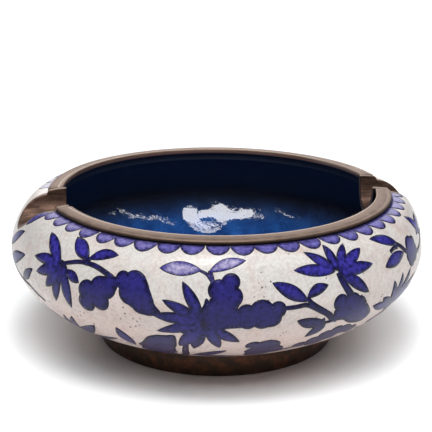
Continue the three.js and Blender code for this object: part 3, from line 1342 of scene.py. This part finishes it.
for side, rest in rests.items():
    made = sheet_between(rest, 0.0, rest_wall, rest_setback)
    even = made.modifiers.new("even", "REMESH")
    even.mode = "VOXEL"
    even.voxel_size = worn_size * mm
    wear = made.modifiers.new("wear", "SMOOTH")
    wear.factor = 0.5
    wear.iterations = worn_passes
    made = rounded(settled(made, "rest_" + side), rest_crease)
    bearing = math.radians(rest["bearing"])
    filed_edge = []
    for vertex in made.data.vertices:
        x = (vertex.co.x * math.cos(bearing) + vertex.co.y * math.sin(bearing)) / mm
        half, forward, thickness = rest_at(rest, x)
        y = (-vertex.co.x * math.sin(bearing) + (vertex.co.y + forward * mm) * math.cos(bearing)) / mm
        depth = (math.hypot(y / half, (rim_top - vertex.co.z / mm) / rest_depth) - 1) * half
        into_sheet = depth / (rest_wall * thickness)
        filed_edge.append(min(max((into_sheet - filed_from) / filed_over, 0), 1))
    made.data.attributes.new("filed", "FLOAT", "POINT").data.foreach_set("value", filed_edge)
    made.data.materials.clear()
    made.data.materials.append(rest_bronze)
    out_of_true(made)
    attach(made, "root")
    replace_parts(made, "cigar_rest_" + side)
    seam = rounded(sheet_between(rest, rest_wall, slot_margin, solder_setback), bowl_crease)
    seam.name = "seam_" + side
    seam.data.materials.clear()
    seam.data.materials.append(solder_dark)
    out_of_true(seam)
    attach(seam, "root")


# The room: a plain pale floor, a pale surround and soft studio light, with the camera a little above
# the rim and to the left of the front.

floor_size = 6.0
floor_steps = 8
floor_mesh = bpy.data.meshes.new("floor")
shape = bmesh.new()
bmesh.ops.create_grid(shape, x_segments=floor_steps, y_segments=floor_steps, size=floor_size / 2)
shape.to_mesh(floor_mesh)
shape.free()
floor = new_object("floor", floor_mesh)
paper = Finish("paper")
floor_mesh.materials.append(paper.surface(Base_Color=colour(241, 243, 244), Roughness=0.9))

surround = bpy.data.worlds.new("surround")
surround.use_nodes = True
surround.node_tree.nodes["Background"].inputs["Color"].default_value = (1, 1, 1, 1)
surround.node_tree.nodes["Background"].inputs["Strength"].default_value = 0.04
bpy.context.scene.world = surround


def softbox(name, turn, rise, away, size, power, gloss=True):
    """An area light aimed at the ashtray: degrees from the front, degrees up, and metres off."""
    turn, rise = math.radians(turn), math.radians(rise)
    light = bpy.data.lights.new(name, "AREA")
    light.shape = "RECTANGLE"
    light.size, light.size_y = size
    light.energy = power
    made = new_object(name, light)
    level = math.cos(rise) * away
    made.location = (math.sin(turn) * level, -math.cos(turn) * level, math.sin(rise) * away)
    made.rotation_euler = (-Vector(made.location)).to_track_quat("-Z", "Y").to_euler()
    made.visible_camera = False
    made.visible_glossy = gloss


softbox("ceiling", -4, 62, 2.5, (2.6, 1.3), 62, gloss=False)
softbox("window", -17, 69, 1.0, (0.44, 0.28), 4.0)
softbox("skylight", 20, 88, 1.0, (0.3, 0.3), 2.0)
softbox("left_strip", 62, 57, 1.0, (0.025, 0.6), 0.5)
softbox("right_strip", -76, 54, 1.0, (0.25, 0.03), 0.25)
softbox("rear_window", 169, 21, 1.2, (1.2, 0.6), 5.0)
softbox("front_fill", 0, 8, 1.2, (2.2, 0.2), 1.5, gloss=False)
softbox("back_fill", 170, 8, 1.2, (1.8, 0.2), 3.0, gloss=False)

camera_turn = math.radians(-11.4)
camera_rise = math.radians(19.38)
camera_away = 0.38109
camera_aim = Vector((0.0, 0.0, 0.02275))
camera_tilt = math.radians(-17.11)
camera_swing = math.radians(0.041)
camera_roll = math.radians(0.5)
lens = bpy.data.cameras.new("camera")
lens.sensor_width = 36.0
lens.lens = 98.26
camera = new_object("camera", lens)
away = Vector((math.sin(camera_turn), -math.cos(camera_turn), 0)) * math.cos(camera_rise)
camera.location = camera_aim + (away + Vector((0, 0, math.sin(camera_rise)))) * camera_away
heading = Euler((math.pi / 2 + camera_tilt, 0, camera_turn + camera_swing)).to_matrix()
camera.rotation_euler = (heading @ Matrix.Rotation(camera_roll, 3, "Z")).to_euler()
bpy.context.scene.camera = camera
bpy.context.scene.view_settings.view_transform = "Standard"
